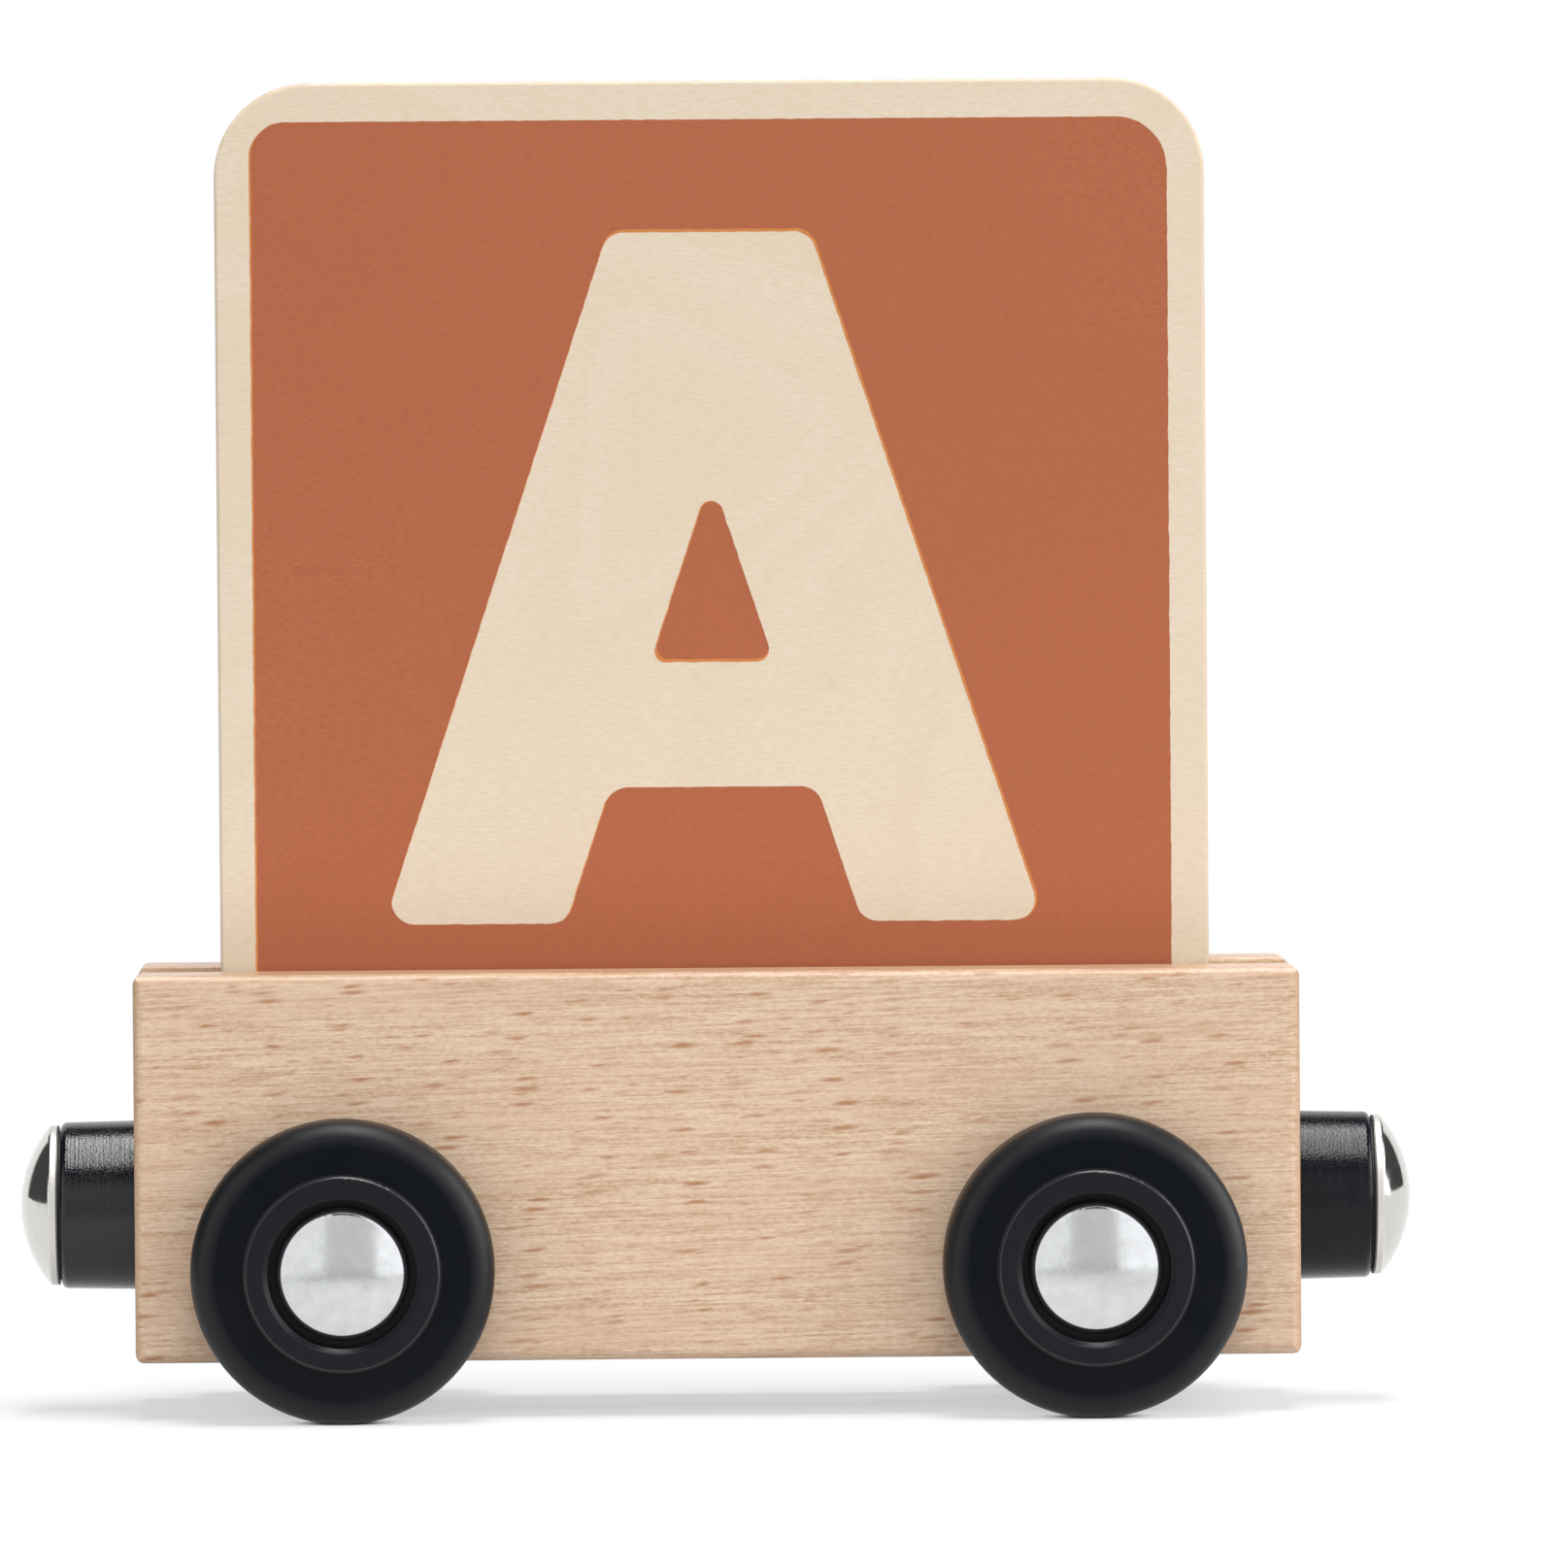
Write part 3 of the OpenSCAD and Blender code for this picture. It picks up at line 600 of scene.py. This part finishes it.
def polished_nickel(steel):
    """Nickel-plated nail head, polished: a near mirror with a few faint wipe marks."""
    material, tree, place = new_tree("polished_nickel")
    wipe = grains(tree, place, (0.3 * MM, 1.5 * MM, 1.5 * MM), Detail=3)
    gloss = add(tree, "MapRange", {
        "Value": wipe, "From Min": 0.4, "From Max": 0.75,
        "To Min": steel.nickel_roughness, "To Max": steel.nickel_roughness + 0.09,
    })
    # The polishing wheel doesn't reach the straight rim, so it stays duller. The back of the rim is painted
    # dark, as painted shade that widens the dark gap against the barrel
    along = add(tree, "SeparateXYZ", {0: place}, out="X")
    along = add(tree, "Math", {0: along}, operation="ABSOLUTE")
    rim = add(tree, "MapRange", {
        "Value": along, "From Min": steel.rim, "From Max": steel.rim - 0.05 * MM, "To Max": 0.4,
    })
    gloss = add(tree, "Math", {0: gloss, 1: rim}, operation="ADD")
    dull = scaled(steel.nickel, 0.9)
    colour = add(tree, "Mix", {0: wipe, FIRST: steel.nickel, SECOND: dull}, **COLOUR_MIX)
    # The back of the rim, past the unshaded width, takes painted shade
    bright = steel.rim - steel.unshaded_rim
    back = add(tree, "MapRange", {"Value": along, "From Min": bright, "From Max": bright - 0.05 * MM})
    colour = add(tree, "Mix", {0: back, FIRST: colour, SECOND: steel.painted_rim_shade}, **COLOUR_MIX)
    lo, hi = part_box("right_coupler_nail")
    middle = (hi.x - steel.nail_crown, 0, (lo.z + hi.z) / 2)
    away = axis_distance(tree, place, "right_coupler_nail", (0, 1, 1))
    normal = dome_normal(tree, place, middle, away, 0.8 * (hi.y - lo.y) / 2)
    finish_surface(tree, {"Base Color": colour, "Metallic": 1.0, "Roughness": gloss, "Normal": normal})
    return material


def drawn_steel(steel, name, colour, roughness):
    """Steel drawn or stamped and left bare: fine scratches along the rod, which spread its shine."""
    material, tree, place = new_tree(name)
    # Real drawing scratches lie about 0.01 mm apart, too fine to show, so they are drawn further apart
    gap = steel.scratch_gap
    scratch = grains(tree, place, (gap, 60 * gap, gap))
    gloss = add(tree, "MapRange", {
        "Value": scratch, "From Min": 0.3, "From Max": 0.7,
        "To Min": roughness - 0.08, "To Max": roughness + 0.12,
    })
    dull = scaled(colour, 0.8)
    shade = add(tree, "Mix", {0: scratch, FIRST: colour, SECOND: dull}, **COLOUR_MIX)
    bump = add(tree, "Bump", {"Height": scratch, "Strength": 0.2, "Distance": 0.005 * MM})
    finish_surface(tree, {"Base Color": shade, "Metallic": 1.0, "Roughness": gloss, "Normal": bump})
    return material


def sintered_ferrite(steel):
    """Ferrite, pressed and sintered: a dull dark grey ceramic with a fine grain."""
    material, tree, place = new_tree("sintered_ferrite")
    # Grains of ferrite are under 0.01 mm, too fine to show, so they are drawn coarser
    grain = grains(tree, place, [0.1 * MM] * 3, Detail=3)
    dark = scaled(steel.ferrite, 0.6)
    colour = add(tree, "Mix", {0: grain, FIRST: steel.ferrite, SECOND: dark}, **COLOUR_MIX)
    bump = add(tree, "Bump", {"Height": grain, "Strength": 0.3, "Distance": 0.01 * MM})
    finish_surface(tree, {"Base Color": colour, "Roughness": 0.6, "Normal": bump, "IOR": 2.0})
    return material


def rounded_outline(corners):
    """Points of a closed outline. Each corner is (x, z, radius), and round corners become arcs."""
    arc_steps = 10
    points = []
    for i, (x, z, radius) in enumerate(corners):
        here = Vector((x, z))
        back = (Vector(corners[i - 1][:2]) - here).normalized()
        on = (Vector(corners[(i + 1) % len(corners)][:2]) - here).normalized()
        half = back.angle(on) / 2
        if radius == 0:
            points.append(here)
            continue
        middle = here + (back + on).normalized() * radius / math.sin(half)
        start = here + back * radius / math.tan(half) - middle
        end = here + on * radius / math.tan(half) - middle
        turn = start.angle_signed(end)
        for k in range(arc_steps + 1):
            points.append(middle + Matrix.Rotation(-turn * k / arc_steps, 2) @ start)
    return points


def grown_outline(corners, grow, slip):
    """Corners of a counter-clockwise outline with every edge moved out by grow, and all slipped down."""
    grown = []
    for i, (x, z, radius) in enumerate(corners):
        here = Vector((x, z))
        into = (here - Vector(corners[i - 1][:2])).normalized()
        on = (Vector(corners[(i + 1) % len(corners)][:2]) - here).normalized()
        out_a, out_b = Vector((into.y, -into.x)), Vector((on.y, -on.x))
        move = (out_a + out_b) * grow / (1 + out_a.dot(out_b))
        grown.append((x + move.x - slip / 2, z + move.y - slip, radius))
    return grown


def ragged_outline(points, step, depth, seed):
    """Cuts an outline into short steps and lets it wander in and out, as ink does on open grain."""
    ragged = []
    for i, start in enumerate(points):
        end = points[(i + 1) % len(points)]
        along = end - start
        if along.length == 0:
            continue
        side = Vector((along.y, -along.x)).normalized()
        count = max(1, round(along.length / step))
        for k in range(count):
            point = start + along * k / count
            spot = Vector((point.x, seed * MM, point.y)) / MM
            wander = 0.6 * noise.noise(spot * 1.4) + 0.4 * noise.noise(spot * 4.1)
            ragged.append(point + side * wander * depth)
    return ragged


def letter_outlines(print_, base):
    """Plain heavy capital A: its outer outline and its counter, both counter-clockwise."""
    half = print_.letter_width / 2
    top = base + print_.letter_height
    lean = (half - print_.apex / 2) / print_.letter_height
    inner = half - print_.stroke
    bar_base, bar_top = base + print_.bar_base, base + print_.bar_top
    under = inner - lean * print_.bar_base
    over = inner - lean * print_.bar_top
    peak = base + inner / lean
    corner = print_.letter_corner
    small = corner / 2
    outer = [
        (-half, base, corner), (-inner, base, corner), (-under, bar_base, corner),
        (under, bar_base, corner), (inner, base, corner), (half, base, corner),
        (print_.apex / 2, top, corner), (-print_.apex / 2, top, corner),
    ]
    counter = [(-over, bar_top, small), (over, bar_top, small), (0, peak, small)]
    return outer, counter


def print_film(name, outlines, lift, thickness, turn, material):
    """Flat film of ink with holes, set on one face of the letter plate."""
    curve = bpy.data.curves.new(name, "CURVE")
    curve.dimensions = "2D"
    curve.fill_mode = "BOTH"
    curve.extrude = thickness / 2
    for points in outlines:
        spline = curve.splines.new("POLY")
        spline.points.add(len(points) - 1)
        for spot, point in zip(spline.points, points):
            spot.co = (point.x, point.y, 0, 1)
        spline.use_cyclic_u = True
    flat = bpy.data.objects.new(name + "_outline", curve)
    bpy.context.scene.collection.objects.link(flat)
    mesh = bpy.data.meshes.new_from_object(flat.evaluated_get(bpy.context.evaluated_depsgraph_get()))
    bpy.data.objects.remove(flat)
    near_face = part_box("letter_plate")[0].y
    upright = Euler((math.pi / 2, 0, 0)).to_matrix().to_4x4()
    stand = Matrix.Translation((0, near_face - lift - thickness / 2, 0)) @ upright
    mesh.transform(Matrix.Rotation(turn, 4, "Z") @ stand)
    mesh.materials.clear()
    mesh.materials.append(material)
    mesh.name = name
    film = bpy.data.objects.new(name, mesh)
    bpy.context.scene.collection.objects.link(film)
    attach(film, "wagon")


def softbox(name, place, target, width, height, brightness):
    """Rectangular lamp that faces a target. Its brightness is that of a lit white wall."""
    lamp = bpy.data.lights.new(name, "AREA")
    lamp.shape = "RECTANGLE"
    lamp.size = width
    lamp.size_y = height
    lamp.energy = brightness * math.pi * width * height
    box = bpy.data.objects.new(name, lamp)
    box.location = place
    box.rotation_euler = (Vector(target) - Vector(place)).to_track_quat("-Z", "Y").to_euler()
    box.visible_camera = False
    bpy.context.scene.collection.objects.link(box)


def white_table(stage):
    """White laminate table: lit and shaded near the car, burnt out to white further off."""
    material, tree, place = new_tree("white_table")
    away = add(tree, "VectorMath", {0: place}, out="Value", operation="LENGTH")
    far = add(tree, "MapRange", {
        "Value": away, "From Min": stage.lit_radius, "From Max": stage.white_radius,
    }, interpolation_type="SMOOTHSTEP")
    path = add(tree, "LightPath").node.outputs
    seen = add(tree, "Math", {0: path["Is Camera Ray"], 1: path["Is Glossy Ray"]}, operation="MAXIMUM")
    seen = add(tree, "Math", {0: seen, 1: path["Is Transmission Ray"]}, operation="MAXIMUM")
    far = add(tree, "Math", {0: far, 1: stage.floor_glow}, operation="MAXIMUM")
    white = add(tree, "Math", {0: far, 1: seen}, operation="MULTIPLY")
    dim = scaled(stage.floor, stage.floor_bounce)
    bright = scaled(stage.floor_view, stage.floor_gain)
    colour = add(tree, "Mix", {0: seen, FIRST: dim, SECOND: stage.floor}, **COLOUR_MIX)
    colour = add(tree, "Mix", {0: path["Is Camera Ray"], FIRST: colour, SECOND: bright}, **COLOUR_MIX)
    lit = add(tree, "BsdfDiffuse", {"Color": colour})
    # The block alone shuts out little of the backdrop's light, and a wheel's contact nearly all of it
    opening = add(tree, "AmbientOcclusion", {"Distance": stage.contact}, out="AO", samples=48)
    opening = add(tree, "MapRange", {"Value": opening, "From Min": 0.03, "From Max": 0.14})
    glow = add(tree, "Emission", {"Strength": opening})
    surface = add(tree, "MixShader", {0: white, 1: lit, 2: glow})
    add(tree, "OutputMaterial", {"Surface": surface})
    return material


def studio_world(stage):
    """White backdrop for the camera. Reflections find it only behind the car, with a dim room round it."""
    world = bpy.data.worlds.new("studio")
    world.use_nodes = True
    tree = world.node_tree
    tree.nodes.clear()
    towards = add(tree, "TexCoord", out="Generated")
    depth = add(tree, "SeparateXYZ", {0: towards}, out="Y")
    # The backdrop fills the directions within about 40 degrees of straight back
    backdrop = add(tree, "MapRange", {
        "Value": depth, "From Min": 0.76, "From Max": 0.8, "To Min": stage.room_level,
    })
    path = add(tree, "LightPath").node.outputs
    seen = add(tree, "Math", {
        0: path["Is Camera Ray"], 1: path["Is Transmission Ray"],
    }, operation="MAXIMUM")
    strength = add(tree, "Math", {0: backdrop, 1: seen}, operation="MAXIMUM")
    light = add(tree, "Background", {"Color": (1, 1, 1, 1), "Strength": strength})
    add(tree, "OutputWorld", {"Surface": light})
    bpy.context.scene.world = world


def photo_camera(stage):
    """Long lens nearly square to the car's near side, a little above the middle of the plate."""
    right = Vector((math.cos(stage.yaw), -math.sin(stage.yaw), 0))
    ahead = Vector((
        math.sin(stage.yaw) * math.cos(stage.pitch),
        math.cos(stage.yaw) * math.cos(stage.pitch),
        -math.sin(stage.pitch),
    ))
    up = right.cross(ahead)
    lean = Matrix.Rotation(stage.roll, 3, ahead)
    axes = Matrix((lean @ right, lean @ up, -ahead)).transposed()
    data = bpy.data.cameras.new("photo_camera")
    data.sensor_fit = "HORIZONTAL"
    data.sensor_width = 36
    data.lens = stage.lens
    camera = bpy.data.objects.new("photo_camera", data)
    camera.matrix_world = Matrix.Translation(stage.camera_place) @ axes.to_4x4()
    bpy.context.scene.collection.objects.link(camera)
    bpy.context.scene.camera = camera


class LETTER_CAR_OT_block(bpy.types.Operator):
    """Gives the wagon block its beech"""

    bl_idname = "letter_car.block"
    bl_label = "Wagon Block"

    def execute(self, context):
        dress(["wagon_body"], sanded_beech(context.scene.car_block))
        return {"FINISHED"}


class LETTER_CAR_OT_plate(bpy.types.Operator):
    """Gives the letter plate its birch plywood"""

    bl_idname = "letter_car.plate"
    bl_label = "Letter Plate"

    def execute(self, context):
        dress(["letter_plate"], birch_plywood(context.scene.car_plate))
        return {"FINISHED"}


class LETTER_CAR_OT_prints(bpy.types.Operator):
    """Prints a terracotta field with a bare letter on both faces of the plate"""

    bl_idname = "letter_car.prints"
    bl_label = "Prints"

    def execute(self, context):
        print_ = context.scene.car_print
        plate_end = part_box("letter_plate")[1]
        block_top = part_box("wagon_body")[1].z
        # The print runs down into the groove, and both inks lie just clear of what is under them
        tuck, clear = 2 * MM, 0.001 * MM
        half, base, top = plate_end.x - print_.border, block_top - tuck, plate_end.z - print_.top_border
        field = [
            (-half, base, 0), (half, base, 0),
            (half, top, print_.right_corner), (-half, top, print_.left_corner),
        ]
        letter, counter = letter_outlines(print_, block_top + print_.letter_base)
        # How far each ink grows, slips and lies off the wood, and its material
        inks = {
            "print": (0, 0, print_.film, terracotta_ink(print_, context.scene.car_plate)),
            "print_ground": (print_.fringe, print_.slip, 0, orange_ground_ink(print_)),
        }
        step = 0.3 * MM
        for seed, (side, turn) in enumerate((("front", 0), ("back", math.pi))):
            for part, (grow, slip, lift, ink) in inks.items():
                outlines = []
                for shape, reach in ((field, grow), (letter, -grow), (counter, grow)):
                    smooth = rounded_outline(grown_outline(shape, reach, slip))
                    outlines.append(ragged_outline(smooth, step, print_.ragged, 10 * seed))
                print_film(f"{side}_{part}", outlines, lift + clear, print_.film, turn, ink)
        return {"FINISHED"}


class LETTER_CAR_OT_wheels(bpy.types.Operator):
    """Gives the four wheels their moulded plastic"""

    bl_idname = "letter_car.wheels"
    bl_label = "Wheels"

    def execute(self, context):
        wheels = [f"{corner}_wheel" for corner in CORNERS]
        dress(wheels, moulded_wheel_plastic(context.scene.car_plastic))
        return {"FINISHED"}


class LETTER_CAR_OT_axles(bpy.types.Operator):
    """Gives the axles, their domed caps and the springs inside the caps their steel"""

    bl_idname = "letter_car.axles"
    bl_label = "Axles and Caps"

    def execute(self, context):
        steel = context.scene.car_steel
        dress([f"{corner}_axle_cap" for corner in CORNERS], tumbled_zinc(steel))
        dress([f"{end}_axle" for end in ENDS], drawn_steel(steel, "drawn_axle_steel", steel.drawn, 0.28))
        springs = [f"{corner}_cap_spring" for corner in CORNERS]
        dress(springs, drawn_steel(steel, "stamped_spring_steel", steel.spring, 0.36))
        return {"FINISHED"}


class LETTER_CAR_OT_couplers(bpy.types.Operator):
    """Gives the coupler barrels, their magnets and their domed nails their finishes"""

    bl_idname = "letter_car.couplers"
    bl_label = "Couplers"

    def execute(self, context):
        steel = context.scene.car_steel
        plastic = context.scene.car_plastic
        shines = (plastic.left_shine, plastic.right_shine)
        depths = (plastic.left_lines, plastic.right_lines)
        for end, shine, depth in zip(ENDS, shines, depths):
            barrel = turned_barrel_plastic(plastic, f"turned_{end}_barrel", shine, depth)
            dress([f"{end}_coupler_barrel"], barrel)
        dress([f"{end}_coupler_magnet" for end in ENDS], sintered_ferrite(steel))
        dress([f"{end}_coupler_nail" for end in ENDS], polished_nickel(steel))
        return {"FINISHED"}


class LETTER_CAR_OT_stage(bpy.types.Operator):
    """Sets up the white table, the softboxes and the camera"""

    bl_idname = "letter_car.stage"
    bl_label = "Studio"

    def execute(self, context):
        stage = context.scene.car_stage
        mesh = bpy.data.meshes.new("floor")
        front, reach = -stage.front_edge, FLOOR_REACH
        corners = [(-reach, front, 0), (reach, front, 0), (reach, reach, 0), (-reach, reach, 0)]
        mesh.from_pydata(corners, [], [(0, 1, 2, 3)])
        mesh.materials.append(white_table(stage))
        floor = bpy.data.objects.new("floor", mesh)
        context.scene.collection.objects.link(floor)
        for name, (place, target, width, height, setting) in LAMPS.items():
            softbox(name, place, target, width, height, getattr(stage, setting))
        studio_world(stage)
        photo_camera(stage)
        context.scene.view_settings.view_transform = "Standard"
        return {"FINISHED"}


GROUPS = {
    "car_block": BlockSettings,
    "car_plate": PlateSettings,
    "car_print": PrintSettings,
    "car_plastic": PlasticSettings,
    "car_steel": SteelSettings,
    "car_stage": StageSettings,
}
OPERATORS = (
    LETTER_CAR_OT_block,
    LETTER_CAR_OT_plate,
    LETTER_CAR_OT_prints,
    LETTER_CAR_OT_wheels,
    LETTER_CAR_OT_axles,
    LETTER_CAR_OT_couplers,
    LETTER_CAR_OT_stage,
)


class LETTER_CAR_PT_sidebar(bpy.types.Panel):
    """Settings and steps of the letter train car"""

    bl_idname = "LETTER_CAR_PT_sidebar"
    bl_label = "Letter Train Car"
    bl_space_type = "VIEW_3D"
    bl_region_type = "UI"
    bl_category = "Letter Car"

    def draw(self, context):
        for pointer, group in GROUPS.items():
            box = self.layout.box()
            box.label(text=group.__doc__)
            for name in group.__annotations__:
                box.prop(getattr(context.scene, pointer), name)
        for operator in OPERATORS:
            self.layout.operator(operator.bl_idname)


def register():
    """Adds the settings, the steps and the panel."""
    for pointer, group in GROUPS.items():
        bpy.utils.register_class(group)
        setattr(bpy.types.Scene, pointer, PointerProperty(type=group))
    for cls in OPERATORS + (LETTER_CAR_PT_sidebar,):
        bpy.utils.register_class(cls)


def unregister():
    """Takes them away again."""
    for cls in (LETTER_CAR_PT_sidebar,) + OPERATORS[::-1]:
        bpy.utils.unregister_class(cls)
    for pointer, group in GROUPS.items():
        delattr(bpy.types.Scene, pointer)
        bpy.utils.unregister_class(group)


def main():
    """Runs every step."""
    register()
    bpy.ops.letter_car.block()
    bpy.ops.letter_car.plate()
    bpy.ops.letter_car.prints()
    bpy.ops.letter_car.wheels()
    bpy.ops.letter_car.axles()
    bpy.ops.letter_car.couplers()
    bpy.ops.letter_car.stage()


if __name__ == "__main__":
    main()
